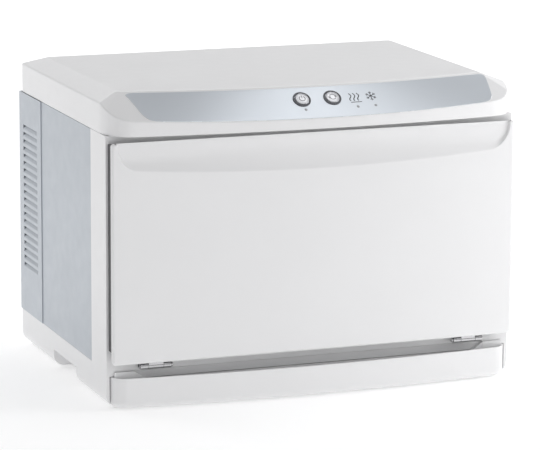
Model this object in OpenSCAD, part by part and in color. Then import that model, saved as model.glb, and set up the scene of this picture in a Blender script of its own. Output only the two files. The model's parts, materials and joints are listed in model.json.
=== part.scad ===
// Hot towel cabinet: bench-top warmer and cooler with a drop-down door, drip tray and rear fan.
// Millimetres, +Z up, front faces -Y. The origin is the middle of the footprint at bench level.
// Most modules draw from the front plane of the body (y = 0 there) and are then moved by yf.

/* [Body] */
// Width over the side panels
body_w = 450; // [420:5:500]
// Depth from the front plane of the body to the back panel
body_d = 310; // [300:5:360]
// Height of the top of the base above the bench
base_top = 40; // [38:1:44]
// Height of the lower edge of the lid
lid_bottom = 285; // [284:1:300]
// Depth of the white front posts
post_d = 51; // [45:1:60]
// Wall of the moulded plastic parts
wall = 3; // [2.5:0.5:4]
// Height of the base mouldings above the bench
ground_gap = 2; // [1.5:0.5:4]

/* [Lid] */
// Overall height at the flat top
top_z = 325; // [322:1:340]
// Furthest forward point of the lid
lid_front = 27.4; // [24:0.2:30]
// Width of the sloping bevel along the sides and back
bevel_w = 23; // [16:1:30]
// Height of the lower edge of that bevel
bevel_z = 315; // [308:1:318]

/* [Door] */
// Half width of the door
door_half = 223.2; // [218:0.2:224]
// Lower edge of the door
door_z0 = 48.8; // [48.6:0.2:52]
// Upper edge of the door
door_z1 = 279; // [272:0.5:280]
// Furthest forward point of the door
door_front = 17.6; // [17.2:0.2:18.4]
// Rear face of the white door skin
door_skin_back = 11; // [10.8:0.1:11]
// Depth of the finger scoop at the top edge
scoop_depth = 7.5; // [5:0.1:7.6]

/* [Chamber] */
// Half width inside
cham_half = 176; // [150:1:180]
// Floor height
cham_z0 = 78; // [76:1:90]
// Ceiling height
cham_z1 = 254; // [230:1:256]
// Depth of the chamber behind the front plane
cham_d = 180; // [150:1:185]
// Foam thickness
foam = 20; // [12:1:20]

/* [Controls] */
// Button diameter
button_d = 14.6; // [12:0.2:16]
// Ring diameter around each button
ring_d = 19.4; // [18:0.2:22]
// Button travel
button_travel = 1; // [0.5:0.1:1.4]

/* [Louvres and fan] */
// Louvres on each side
louvres = 20; // [10:1:20]
// Louvre pitch
louvre_pitch = 8.1; // [7.5:0.1:8.2]
// Louvre length
louvre_l = 52; // [40:1:56]
// Fan frame size
fan_size = 92; // [80:1:92]

/* [Hidden] */
$fn = 64;
half = body_w / 2;
gland_out = 8;
yf = -(body_d + gland_out - lid_front) / 2;
sheet = 1.2;
gap = 0.3;
tight = 0.1;
grip_y0 = 107;
grip_y1 = 188;
grip_top = 20;
seam_y = 228;
cover_half = half + 1;
hinge_y = -8;
hinge_z = 45;
hinge_x = 175;
hinge_w = 33;
knuckle_r = 3.2;
pin_r = 1.5;
fascia_x0 = -195.5;
fascia_x1 = 203;
fascia_t = 1;
fascia_top = 0.94;
button_x = [-15.7, 18];
button_s = 0.579;
led_x = [-14.9, 42.9, 63];
led_s = 0.27;
led_r = 1.7;
bow_half = 190;
lid_sag = 11.9;
slope_z0 = 296;
slope_rise = 4.7;
slope_y1 = 6.9;
slope_sag = 23;
fan_z = 165;
fan_y1 = body_d - sheet - 0.2;
fan_t = 25;
gland = [150, 98];
louvre_z0 = 91;
louvre_y0 = 243;
louvre_h = 4.6;
louvre_in = 3.4;
tray_half = 222.5;
tray_front = 24;
tray_sag = 9.8;
tray_rim = 34.2;
trough_half = 195;
tray_corner = 32;
bay_half = half - wall - 0.2;
bay_back = 9;
bay_top = 39.5;
ring_half = 222.8;
ring_side = 14.3;
latch_x = 190;
foot_x = 196;
foot_y = [24, body_d - 36];
bracket_screw_dx = 12;
leaf_screw_dx = 5;
switch_top = 9.6;
supply_z = 46;

white = [0.93, 0.93, 0.94];
silver = [0.66, 0.68, 0.72];
metal = [0.75, 0.76, 0.78];
dark = [0.2, 0.2, 0.21];
black = [0.06, 0.06, 0.07];

// A front edge that bows forward in plan
function bow(x, y0, sag) = y0 + sag * pow(x / bow_half, 2);
// Closed plan outline: bowed front between two rounded corners, straight sides and back
function corner_x(w, r, sag) = w - r + r * sin(atan(2 * sag * (w - r) / pow(bow_half, 2)));
function front_half(w, r, y0, sag) = let (t = atan(2 * sag * (w - r) / pow(bow_half, 2)),
    xt = corner_x(w, r, sag), yc = bow(xt, y0, sag) + r * cos(t))
    concat([for (i = [0:11]) [xt * i / 12, bow(xt * i / 12, y0, sag)]],
        [for (i = [0:6]) let (a = -90 + t + (90 - t) * i / 6) [w - r + r * cos(a), yc + r * sin(a)]]);
function mirrored(p) = [for (i = [len(p) - 1:-1:1]) [-p[i].x, p[i].y]];
function plan(w, r, y0, sag, yb) = concat(mirrored(front_half(w, r, y0, sag)),
    front_half(w, r, y0, sag), [[w, yb], [-w, yb]]);

// The sloping control front: a ruled surface from the band up to the flat top
function k2(x) = pow(x / bow_half, 2);
function slope_p(x, s, d) = let (y0 = -lid_front + lid_sag * k2(x), z0 = slope_z0 + slope_rise * k2(x),
    y1 = slope_y1 + slope_sag * k2(x), a = atan2(top_z - z0, y1 - y0))
    [x, y0 + (y1 - y0) * s - d * sin(a), z0 + (top_z - z0) * s + d * cos(a)];
slope_a = atan2(top_z - slope_z0, slope_y1 + lid_front);

// Solid that follows the slope between depths d0 and d1; each station is [x, s low, s high]
module slope_slab(st, d0, d1) {
    n = len(st);
    pts = [for (q = st) each [slope_p(q[0], q[1], d0), slope_p(q[0], q[2], d0),
        slope_p(q[0], q[2], d1), slope_p(q[0], q[1], d1)]];
    walls = [for (i = [0:n - 2], j = [0:3]) let (a = 4 * i + j, b = 4 * i + (j + 1) % 4)
        each [[a, a + 4, b + 4], [a, b + 4, b]]];
    polyhedron(pts, concat([[0, 1, 2], [0, 2, 3]], walls,
        [[4 * n - 2, 4 * n - 3, 4 * n - 4], [4 * n - 1, 4 * n - 2, 4 * n - 4]]));
}
function end_lo(e) = e >= 15 ? 0.004 : 0.004 + 0.25 * (1 - sqrt(1 - pow(1 - e / 15, 2)));
function end_hi(e) = e >= 6 ? fascia_top : fascia_top - 0.1 * (1 - sqrt(1 - pow(1 - e / 6, 2)));
function fascia_st(m) = let (ends = [0, 0.6, 1.6, 3.2, 6, 10, 15], a = fascia_x0 - m, b = fascia_x1 + m,
    s = 0.02 * m)
    concat([for (e = ends) [a + e, end_lo(e) - s, end_hi(e) + s]],
        [for (i = [1:11]) [a + 15 + (b - a - 30) * i / 12, 0.004 - s, fascia_top + s]],
        [for (i = [6:-1:0]) [b - ends[i], end_lo(ends[i]) - s, end_hi(ends[i]) + s]]);

// Moves children from the slope's own frame (z out of the slope) to a point on it
module on_slope(x, s) {
    p = slope_p(x, s, 0);
    translate([x, yf + p.y, p.z])
        rotate([slope_a, 0, 0])
            children();
}

module box(x, y, z) {
    translate([x[0], y[0], z[0]])
        cube([x[1] - x[0], y[1] - y[0], z[1] - z[0]]);
}

module both_sides() {
    children();
    mirror([1, 0, 0])
        children();
}

// Screw along -Z with its head on z = 0
module screw(r, l) {
    color(metal) {
        cylinder(h = r * 0.9, r1 = r * 1.9, r2 = r * 1.5);
        translate([0, 0, -l])
            cylinder(h = l, r = r);
    }
}

// Lower outline of the mouldings: full width, then a rounded turn under
module under_body(y0, y1, z1) {
    r = 12;
    translate([0, y1, 0])
        rotate([90, 0, 0])
            linear_extrude(y1 - y0)
                union() {
                    translate([-half + r, ground_gap])
                        square([body_w - 2 * r, r + 1]);
                    translate([-half, ground_gap + r])
                        square([body_w, z1 - ground_gap - r]);
                    for (s = [-1, 1])
                        translate([s * (half - r), ground_gap + r])
                            circle(r = r);
                }
}

module front_frame() {
    color(white)
        translate([0, yf, 0])
            difference() {
                under_body(0, post_d, lid_bottom - tight);
                box([-half + wall, half - wall], [wall, post_d + 1], [bay_top + wall, lid_bottom + 1]);
                box([-half + wall, half - wall], [bay_back + wall, post_d + 1],
                    [ground_gap + wall + 10, bay_top + wall + 1]);
                box([-half + 14, half - 14], [bay_back + wall, post_d + 1], [ground_gap + wall, 30]);
                box([-bay_half, bay_half], [-1, bay_back], [-1, tray_rim + 0.4]);
                box([-trough_half, trough_half], [-1, bay_back], [-1, bay_top]);
                box([-cham_half, cham_half], [-1, wall + 1], [cham_z0, cham_z1]);
                for (s = [-1, 1]) {
                    box([s * latch_x - 12.5, s * latch_x + 12.5], [-1, 1.2], [239, 262.5]);
                    box([s * 150 - 9, s * 150 + 9], [bay_back - 1, bay_back + wall + 1], [9, 16]);
                    for (dx = [-bracket_screw_dx, bracket_screw_dx])
                        translate([s * hinge_x + dx, 0, 55])
                            rotate([90, 0, 0])
                                cylinder(h = 12, r = 1.3, center = true);
                }
            }
}

module grip_pocket(m) {
    box([half - 20 - m, half + 1], [grip_y0 - m, grip_y1 + m], [-1, grip_top + m]);
}

module base_pan() {
    color(white)
        translate([0, yf, 0])
            difference() {
                union() {
                    difference() {
                        under_body(post_d + tight, body_d - sheet - gap, base_top);
                        box([-half + wall, half - wall], [post_d - 1, body_d - sheet - gap - wall],
                            [ground_gap + wall + 10, base_top + 1]);
                        box([-half + 14, half - 14], [post_d - 1, body_d - sheet - gap - wall],
                            [ground_gap + wall, 30]);
                    }
                    both_sides()
                        intersection() {
                            under_body(post_d + tight, body_d - sheet - gap, base_top);
                            grip_pocket(wall);
                        }
                    for (s = [-1, 1], y = [70, 190])
                        box([s * 160 - 8, s * 160 + 8], [y - 5, y + 5],
                            [ground_gap + wall - 0.1, cham_z0 - foam - tight]);
                    for (p = cover_screws())
                        box([p.x - 7, p.x + 7], [body_d - 12, body_d - sheet - gap],
                            [base_top - 4, base_top + 16]);
                }
                both_sides()
                    grip_pocket(0);
                for (p = cover_screws())
                    translate([p.x, body_d - 6, p.y])
                        rotate([90, 0, 0])
                            cylinder(h = 16, r = 1.75, center = true);
                for (s = [-1, 1], y = foot_y)
                    translate([s * foot_x, y, -1])
                        cylinder(h = 20, r = 2.2);
                for (x = [-60:12:60])
                    box([x - 2, x + 2], [240, 290], [-1, ground_gap + wall + 1]);
            }
}

module side_panel() {
    color(silver)
        translate([0, yf, 0]) {
            box([half - sheet, half], [post_d + gap, seam_y], [base_top + tight, lid_bottom - gap]);
            box([half - 12, half - sheet], [post_d + gap, post_d + gap + sheet],
                [base_top + 4, lid_bottom - 4]);
            box([half - 12, half - sheet], [seam_y - sheet, seam_y], [base_top + 4, lid_bottom - 4]);
        }
}

module side_panel_right() side_panel();

module side_panel_left() {
    mirror([1, 0, 0])
        side_panel();
}

// Blade of one sheared louvre: joined to the sheet under its slot, leaning inward, ends open
module louvre_blade() {
    translate([cover_half - sheet, louvre_y0 + louvre_l, 0])
        rotate([90, 0, 0])
            linear_extrude(louvre_l)
                polygon([[sheet - 0.1, -1], [sheet - 0.1, 0.3], [0.9 - louvre_in, louvre_h],
                    [-louvre_in, louvre_h], [0.1, 0.2], [0.1, -1]]);
}

module rear_cover() {
    z0 = base_top + gap;
    z1 = lid_bottom - gap;
    color(silver)
        translate([0, yf, 0])
            difference() {
                union() {
                    both_sides()
                        difference() {
                            box([cover_half - sheet, cover_half], [seam_y + gap, body_d], [z0, z1]);
                            for (i = [0:louvres - 1])
                                translate([0, 0, louvre_z0 + i * louvre_pitch])
                                    box([cover_half - sheet - 1, cover_half + 1],
                                        [louvre_y0 - 0.3, louvre_y0 + louvre_l + 0.3], [0, louvre_h]);
                        }
                    both_sides()
                        for (i = [0:louvres - 1])
                            translate([0, 0, louvre_z0 + i * louvre_pitch])
                                louvre_blade();
                    box([-cover_half, cover_half], [body_d - sheet, body_d], [z0, z1]);
                }
                translate([0, body_d, fan_z])
                    rotate([90, 0, 0])
                        cylinder(h = 6, r = fan_size / 2 - 3, center = true);
                for (x = [-1, 1], z = [-1, 1])
                    translate([x * fan_hole(), body_d, fan_z + z * fan_hole()])
                        rotate([90, 0, 0])
                            cylinder(h = 6, r = 2.1, center = true);
                translate([gland.x, body_d, gland.y])
                    rotate([90, 0, 0])
                        cylinder(h = 6, r = 8.1, center = true);
                for (p = cover_screws())
                    translate([p.x, body_d, p.y])
                        rotate([90, 0, 0])
                            cylinder(h = 6, r = 1.8, center = true);
            }
}

function fan_hole() = fan_size / 2 - 4.75;
function cover_screws() = [for (x = [-1, 0, 1], z = [base_top + 10, lid_bottom - 10]) [x * (half - 18), z]];

module rear_cover_screws() {
    for (p = cover_screws())
        translate([p.x, yf + body_d + 0.05, p.y])
            rotate([-90, 0, 0])
                screw(1.7, 11.5);
}

// Outer form of the lid; m shrinks it all round to make the inside
module lid_form(m) {
    yb = body_d - 5 - m;
    w = half - m;
    difference() {
        translate([0, 0, lid_bottom])
            linear_extrude(top_z - lid_bottom - m)
                polygon(plan(w, 26 - m, -lid_front + m, lid_sag, yb));
        both_sides()
            translate([0, -60, 0])
                rotate([-90, 0, 0])
                    linear_extrude(body_d + 100)
                        polygon([[w + 1, -bevel_z + m * 1.1 + 0.48], [w + 1, -top_z - 9],
                            [w - bevel_w - 18, -top_z - 9], [w - bevel_w, -top_z + m]]);
        translate([-half - 10, 0, 0])
            rotate([90, 0, 90])
                linear_extrude(body_w + 20)
                    polygon([[yb + 1, bevel_z - m * 1.1 - 0.48], [yb + 1, top_z + 9],
                        [yb - bevel_w - 18, top_z + 9], [yb - bevel_w, top_z - m]]);
        slope_slab([for (i = [0:20]) [-half - 5 + (body_w + 10) * i / 20, -1.5, 1.9]], -m, 60);
    }
}

module top_cover() {
    color(white)
        difference() {
            translate([0, yf, 0])
                difference() {
                    lid_form(0);
                    difference() {
                        lid_form(wall);
                        box([-half, half], [-60, wall + 0.5], [0, lid_bottom + wall]);
                        box([-half, half], [-60, body_d], [0, lid_bottom - 0.01]);
                    }
                    translate([0, 0, top_z - 1])
                        linear_extrude(5)
                            polygon(plan(half - bevel_w - 3, 16, slope_y1 + 3.5, slope_sag,
                                body_d - 5 - bevel_w - 3));
                    slope_slab(fascia_st(0.3), -fascia_t - tight, 20);
                }
            for (x = button_x)
                on_slope(x, button_s)
                    cylinder(h = 20, r = ring_d / 2 + tight, center = true);
            for (x = led_x)
                on_slope(x, led_s)
                    cylinder(h = 14, r = led_r + tight, center = true);
        }
    color(white)
        translate([0, yf, 0])
            difference() {
                for (x = [-1, 0, 1])
                    box([x * (half - 18) - 7, x * (half - 18) + 7], [body_d - 12, body_d - 5 - wall + 0.1],
                        [lid_bottom - 16, lid_bottom + 6]);
                for (x = [-1, 0, 1])
                    translate([x * (half - 18), body_d - 10, lid_bottom - 10])
                        rotate([90, 0, 0])
                            cylinder(h = 12, r = 1.75, center = true);
            }
}

module control_fascia() {
    color(silver)
        difference() {
            translate([0, yf, 0])
                slope_slab(fascia_st(0), -fascia_t, 0);
            for (x = button_x)
                on_slope(x, button_s)
                    cylinder(h = 20, r = ring_d / 2 + tight, center = true);
            for (x = led_x)
                on_slope(x, led_s)
                    cylinder(h = 14, r = led_r + tight, center = true);
        }
}

module button_rings() {
    color(black)
        for (x = button_x)
            on_slope(x, button_s)
                translate([0, 0, -5])
                    difference() {
                        cylinder(h = 5.5, r = ring_d / 2);
                        translate([0, 0, -1])
                            cylinder(h = 8, r = button_d / 2 + 0.35);
                    }
}

module button(x) {
    color(metal)
        on_slope(x, button_s) {
            translate([0, 0, -2.6])
                cylinder(h = 3.3, r = button_d / 2);
            translate([0, 0, button_travel + 0.2 - switch_top])
                cylinder(h = switch_top - button_travel - 2.7, r = 2);
        }
}

module power_button() button(button_x[0]);

module mode_button() button(button_x[1]);

module led(i, c) {
    color(c)
        on_slope(led_x[i], led_s)
            translate([0, 0, -5])
                cylinder(h = 5.3, r = led_r);
}

module led_power() led(0, [0.2, 0.5, 0.25]);

module led_hot() led(1, [0.6, 0.2, 0.15]);

module led_cool() led(2, [0.2, 0.35, 0.6]);

module control_board() {
    color([0.1, 0.35, 0.2])
        on_slope(20, button_s)
            difference() {
                translate([-52, -13, -14.6])
                    cube([112, 23, 1.6]);
                for (x = [-48, 56])
                    translate([x, 0, -16])
                        cylinder(h = 4, r = 1.6);
            }
}

module tact_switches() {
    color(black)
        for (x = button_x)
            on_slope(x, button_s) {
                translate([-3, -3, -12.95])
                    cube([6, 6, 2.6]);
                translate([0, 0, -switch_top - 0.8])
                    cylinder(h = 0.8, r = 1.6);
            }
}

// Upright outline of the tray moved in by m, cut off behind the front plane at y = back
module tray_plan(m, front, back) {
    intersection() {
        polygon(plan(tray_half - m, tray_corner - m, front - tray_front, tray_sag, 50));
        translate([-half, -60])
            square([body_w, 60 + back]);
    }
}

module drip_tray() {
    back = bay_back - 0.6;
    color(white)
        translate([0, yf, 0])
            difference() {
                union() {
                    hull() {
                        translate([0, 0, ground_gap + 5])
                            linear_extrude(tray_rim - ground_gap - 5)
                                tray_plan(0, 0, back);
                        translate([0, 0, ground_gap + 1.4])
                            linear_extrude(1)
                                tray_plan(3, 2.6, back);
                        translate([0, 0, ground_gap])
                            linear_extrude(1)
                                tray_plan(6.5, 5.6, back);
                    }
                    for (s = [-1, 1])
                        box([s * 150 - 8, s * 150 + 8], [back - 1, 56], [10, 15]);
                }
                intersection() {
                    translate([0, 0, 6])
                        linear_extrude(40)
                            tray_plan(wall, wall - 0.4, back - 2.5);
                    union() {
                        box([-trough_half, trough_half], [-40, 40], [6, 60]);
                        for (s = [-1, 1])
                            box([s * 215 - 6, s * 215 + 6], [-40, 40], [16, 60]);
                    }
                }
                box([-200, 200], [back - 2.6, back + 1], [30, 60]);
            }
}

module hand_scoop() {
    r = 95;
    intersection() {
        translate([-230, -door_front + scoop_depth - r, door_z1])
            rotate([0, 90, 0])
                cylinder(h = 460, r = r);
        rotate([90, 0, 0])
            linear_extrude(60) {
                translate([-217, 262])
                    square([434, 40]);
                translate([-195, 225])
                    square([390, 75]);
                for (s = [-1, 1])
                    translate([s * 191, 262])
                        circle(r = 26);
            }
    }
}

module door_skin() {
    color(white)
        translate([0, yf, 0])
            difference() {
                union() {
                    translate([0, 0, door_z0])
                        linear_extrude(door_z1 - door_z0)
                            polygon(plan(door_half, 3.2, -door_front, 2.4, -door_skin_back));
                    box([-218.8, 218.8], [-door_skin_back - 1, -7.5], [252, 277]);
                }
                box([-door_half + 3, door_half - 3], [-13.4, -door_skin_back + 1], [64, 240]);
                hand_scoop();
                for (s = [-1, 1], dx = [-leaf_screw_dx, leaf_screw_dx])
                    translate([s * hinge_x + dx, -9, 56])
                        rotate([90, 0, 0])
                            cylinder(h = 10, r = 1.2, center = true);
            }
}

// Flat ring, w wide along its top and bottom and ring_side wide at its sides
module door_ring(x, y, z, w) {
    difference() {
        box([-x, x], y, z);
        box([-x + ring_side, x - ring_side], [y[0] - 1, y[1] + 1], [z[0] + w, z[1] - w]);
    }
}

module door_back_frame() {
    color(dark)
        translate([0, yf, 0])
            difference() {
                box([-ring_half, ring_half], [-door_skin_back + 0.05, -7.3], [62, 277]);
                box([-171, 171], [-30, 0], [83, 249]);
                box([-219.2, 219.2], [-30, 0], [250.5, 277.1]);
                for (s = [-1, 1], x = [192, 214], z = [78, 164, 236])
                    translate([s * x, -9, z])
                        rotate([90, 0, 0])
                            cylinder(h = 10, r = 1.7, center = true);
            }
}

module door_liner() {
    color(white)
        translate([0, yf, 0])
            difference() {
                union() {
                    box([-170.7, 170.7], [-10.9, 8], [83.3, 248.7]);
                    box([-178, 178], [-7.2, -5], [76, 250]);
                }
                box([-168.5, 168.5], [-11, 5.8], [85.5, 246.5]);
            }
}

module door_foam() {
    color([0.9, 0.87, 0.7])
        translate([0, yf, 0])
            box([-168.3, 168.3], [-13.2, 5.6], [85.7, 239.8]);
}

module door_gasket() {
    color(dark)
        translate([0, yf, 0])
            difference() {
                door_ring(ring_half, [-7.2, -0.4], [62, 277], 13);
                door_ring(ring_half - 3.5, [-4.4, -3], [65.5, 273.5], 13);
            }
}

module door_magnets() {
    color(dark)
        translate([0, yf, 0])
            for (s = [-1, 1])
                box([s * latch_x - 11, s * latch_x + 11], [-7.2, -0.9], [240, 261]);
}

module strike_plates() {
    color(metal)
        translate([0, yf, 0])
            for (s = [-1, 1])
                box([s * latch_x - 12, s * latch_x + 12], [0, 1.1], [239.5, 262]);
}

module knuckle(x0, x1) {
    translate([x0, hinge_y, hinge_z])
        rotate([0, 90, 0])
            cylinder(h = x1 - x0, r = knuckle_r);
}

module hinge_bore(r) {
    translate([hinge_x - hinge_w / 2 - 1, hinge_y, hinge_z])
        rotate([0, 90, 0])
            cylinder(h = hinge_w + 2, r = r);
}

module hinge_bracket() {
    color(metal)
        translate([0, yf, 0])
            difference() {
                union() {
                    for (x = [[hinge_x - hinge_w / 2, hinge_x - 8.3],
                        [hinge_x + 8.3, hinge_x + hinge_w / 2]]) {
                        knuckle(x[0], x[1]);
                        box(x, [hinge_y, -0.05], [hinge_z - knuckle_r, hinge_z - knuckle_r + 1.6]);
                    }
                    box([hinge_x - hinge_w / 2, hinge_x + hinge_w / 2], [-1.65, -0.05],
                        [hinge_z - knuckle_r, 61]);
                }
                hinge_bore(pin_r + 0.02);
                for (dx = [-bracket_screw_dx, bracket_screw_dx])
                    translate([hinge_x + dx, 0, 55])
                        rotate([90, 0, 0])
                            cylinder(h = 12, r = 1.6, center = true);
            }
}

module hinge_leaf() {
    color(metal)
        translate([0, yf, 0])
            difference() {
                union() {
                    knuckle(hinge_x - 8, hinge_x + 8);
                    box([hinge_x - 8, hinge_x + 8], [-10.9, -9.5], [hinge_z, 61]);
                }
                hinge_bore(pin_r + 0.05);
                for (dx = [-leaf_screw_dx, leaf_screw_dx])
                    translate([hinge_x + dx, -9, 56])
                        rotate([90, 0, 0])
                            cylinder(h = 10, r = 1.5, center = true);
            }
}

module hinge_pin() {
    color(metal)
        translate([hinge_x - hinge_w / 2 - 0.8, yf + hinge_y, hinge_z])
            rotate([0, 90, 0]) {
                cylinder(h = hinge_w + 1.2, r = pin_r);
                translate([0, 0, -0.9])
                    cylinder(h = 0.9, r = 2.4);
            }
}

module hinge_bracket_right() hinge_bracket();

module hinge_bracket_left() {
    mirror([1, 0, 0])
        hinge_bracket();
}

module hinge_leaf_right() hinge_leaf();

module hinge_leaf_left() {
    mirror([1, 0, 0])
        hinge_leaf();
}

module hinge_pin_right() hinge_pin();

module hinge_pin_left() {
    mirror([1, 0, 0])
        hinge_pin();
}

module hinge_bracket_screws() {
    for (s = [-1, 1], dx = [-bracket_screw_dx, bracket_screw_dx])
        translate([s * hinge_x + dx, yf - 1.7, 55])
            rotate([90, 0, 0])
                screw(1.2, 6);
}

module hinge_leaf_screws() {
    for (s = [-1, 1], dx = [-leaf_screw_dx, leaf_screw_dx])
        translate([s * hinge_x + dx, yf - 9.45, 56])
            rotate([-90, 0, 0])
                screw(1.1, 4);
}

module inner_chamber() {
    t = 1;
    color(metal)
        translate([0, yf, 0])
            difference() {
                union() {
                    box([-cham_half - t, cham_half + t], [wall + 0.05, cham_d + t],
                        [cham_z0 - t, cham_z1 + t]);
                    box([-cham_half - 9, cham_half + 9], [wall + 0.05, wall + t],
                        [cham_z0 - 9, cham_z1 + 9]);
                }
                box([-cham_half, cham_half], [-1, cham_d], [cham_z0, cham_z1]);
            }
}

module foam_jacket() {
    m = 1.15;
    color([0.9, 0.87, 0.7])
        translate([0, yf, 0])
            difference() {
                box([-cham_half - foam, cham_half + foam], [wall + 1.1, cham_d + foam],
                    [cham_z0 - foam, cham_z1 + foam]);
                box([-cham_half - m, cham_half + m], [0, cham_d + m], [cham_z0 - m, cham_z1 + m]);
                box([-cham_half - 9.2, cham_half + 9.2], [0, wall + 1.2], [cham_z0 - 9.2, cham_z1 + 9.2]);
                box([-141, 141], [19, 161], [cham_z0 - 3, cham_z0]);
                box([-31, 31], [cham_d, cham_d + foam + 1], [fan_z - 31, fan_z + 31]);
                box([60, 120], [cham_d, cham_d + 12], [190, 230]);
            }
}

module heater_sheet() {
    color([0.75, 0.35, 0.15])
        translate([0, yf, 0])
            box([-140, 140], [20, 160], [cham_z0 - 2.7, cham_z0 - 1.1]);
}

module cold_block() {
    color(metal)
        translate([0, yf, 0])
            box([-30, 30], [cham_d + 1.05, cham_d + foam - 4.05], [fan_z - 30, fan_z + 30]);
}

module peltier_module() {
    color([0.92, 0.92, 0.9])
        translate([0, yf, 0])
            box([-20, 20], [cham_d + foam - 4, cham_d + foam - 0.05], [fan_z - 20, fan_z + 20]);
}

module heat_sink() {
    y0 = cham_d + foam;
    color(metal)
        translate([0, yf, 0]) {
            difference() {
                box([-60, 60], [y0, y0 + 6], [fan_z - 50, fan_z + 50]);
                for (x = [-1, 1], z = [-1, 1])
                    translate([x * 42, y0, fan_z + z * 36])
                        rotate([90, 0, 0])
                            cylinder(h = 20, r = 2, center = true);
            }
            for (i = [0:14])
                translate([-60 + i * 118.4 / 14, 0, 0])
                    box([0, 1.6], [y0 + 5.9, y0 + 44], [fan_z - 50, fan_z + 50]);
        }
}

module fan_frame() {
    color(black)
        translate([0, yf + fan_y1, fan_z])
            rotate([90, 0, 0]) {
                difference() {
                    translate([-fan_size / 2, -fan_size / 2, 0])
                        cube([fan_size, fan_size, fan_t]);
                    translate([0, 0, -1])
                        cylinder(h = fan_t + 2, r = fan_size / 2 - 2.5);
                    for (x = [-1, 1], z = [-1, 1])
                        translate([x * fan_hole(), z * fan_hole(), -1])
                            cylinder(h = fan_t + 2, r = 2.2);
                }
                translate([0, 0, fan_t - 3])
                    cylinder(h = 3, r = 17);
                for (a = [45:90:315])
                    rotate([0, 0, a])
                        translate([15, -2.5, fan_t - 3])
                            cube([fan_size / 2 - 16.5, 5, 3]);
                translate([0, 0, 5])
                    cylinder(h = fan_t - 6, r = 3);
            }
}

module fan_rotor() {
    color(dark)
        translate([0, yf + fan_y1, fan_z])
            rotate([90, 0, 0])
                difference() {
                    union() {
                        translate([0, 0, 3])
                            cylinder(h = fan_t - 7, r = 16.5);
                        for (a = [0:360 / 7:350])
                            rotate([0, 0, a])
                                translate([28.5, 0, fan_t / 2 - 0.5])
                                    rotate([38, 0, 0])
                                        cube([26, 24, 1.4], center = true);
                    }
                    translate([0, 0, 4.5])
                        cylinder(h = fan_t, r = 14.8);
                }
}

module fan_guard() {
    color(metal)
        translate([0, yf + body_d + 0.05, fan_z])
            rotate([-90, 0, 0]) {
                for (r = [12:8:44])
                    translate([0, 0, 2.6])
                        rotate_extrude()
                            translate([r, 0])
                                circle(r = 0.8, $fn = 24);
                for (a = [0, 90])
                    rotate([0, 0, a + 45])
                        translate([3 - fan_hole() * sqrt(2), 0, 1.2])
                            rotate([0, 90, 0])
                                cylinder(h = 2 * fan_hole() * sqrt(2) - 6, r = 0.9, $fn = 24);
                for (x = [-1, 1], z = [-1, 1])
                    translate([x * fan_hole(), z * fan_hole(), 0.3])
                        difference() {
                            cylinder(h = 1.8, r = 4);
                            translate([0, 0, -1])
                                cylinder(h = 5, r = 2.2);
                        }
            }
}

module fan_screws() {
    for (x = [-1, 1], z = [-1, 1])
        translate([x * fan_hole(), yf + body_d + 2.25, fan_z + z * fan_hole()])
            rotate([-90, 0, 0])
                screw(1.9, 14);
}

module cord_bushing() {
    color(black)
        translate([gland.x, yf + body_d, gland.y])
            rotate([90, 0, 0])
                difference() {
                    union() {
                        translate([0, 0, -gland_out])
                            cylinder(h = gland_out - 0.05, r1 = 7, r2 = 10.5);
                        translate([0, 0, -1])
                            cylinder(h = 8, r = 7.9);
                        translate([0, 0, sheet + 0.1])
                            cylinder(h = 3, r = 10);
                    }
                    translate([0, 0, -gland_out - 1])
                        cylinder(h = 30, r = 3.8);
                }
}

module power_supply() {
    color([0.1, 0.35, 0.2])
        translate([0, yf, 0]) {
            box([108, 196], [236, 296], [supply_z, supply_z + 1.6]);
            box([112, 142], [242, 290], [47.5, 76]);
            box([150, 170], [244, 262], [47.5, 78]);
            box([176, 190], [244, 286], [47.5, 66]);
        }
}

module standoffs() {
    color(metal)
        translate([0, yf, 0])
            for (x = [112, 192], y = [239, 293])
                translate([x, y, ground_gap + wall])
                    cylinder(h = supply_z - ground_gap - wall - 0.05, r = 3);
}

module thermal_cutout() {
    color(metal)
        translate([90, yf + cham_d + 1.1, 210])
            rotate([-90, 0, 0]) {
                cylinder(h = 6, r = 8);
                translate([-12, -4, 0])
                    cube([24, 8, 1]);
            }
}

module temperature_sensor() {
    color(metal)
        translate([72, yf + cham_d + 1.1, 198])
            rotate([-90, 0, 0])
                cylinder(h = 8, r = 2.5);
}

module rack_wire(p, l, r, a) {
    translate(p)
        rotate(a)
            cylinder(h = l, r = r);
}

module wire_rack() {
    z = cham_z0 + 11;
    w = 168;
    y0 = 14;
    y1 = cham_d - 6;
    color(metal)
        translate([0, yf, 0]) {
            for (y = [y0, (y0 + y1) / 2, y1])
                rack_wire([-w, y, z], 2 * w, 2, [0, 90, 0]);
            for (i = [0:16])
                rack_wire([-w + i * w / 8, y0 - 1.5, z + 3], y1 - y0 + 3, 1.5, [-90, 0, 0]);
            for (s = [-1, 1], y = [y0, y1]) {
                rack_wire([s * (w - 10), y, cham_z0 + 2.05], 9, 2, [0, 0, 0]);
                translate([s * (w - 10), y, cham_z0 + 2.05])
                    sphere(r = 2);
            }
        }
}

module rubber_feet() {
    color(dark)
        for (s = [-1, 1], y = foot_y)
            translate([s * foot_x, yf + y, 0])
                difference() {
                    cylinder(h = ground_gap - 0.05, r1 = 9, r2 = 10);
                    translate([0, 0, -1])
                        cylinder(h = 10, r = 2.2);
                }
}

module wiring_harness() {
    r = 2.5;
    color(black)
        translate([96, yf, 0]) {
            translate([0, 16, 278])
                cylinder(h = 21, r = r);
            translate([0, 16, 281])
                rotate([-90, 0, 0])
                    cylinder(h = 232, r = r);
            translate([0, 248, 59])
                cylinder(h = 225, r = r);
            translate([0, 248, 62])
                rotate([0, 90, 0])
                    cylinder(h = 15.6, r = r);
        }
}

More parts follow.
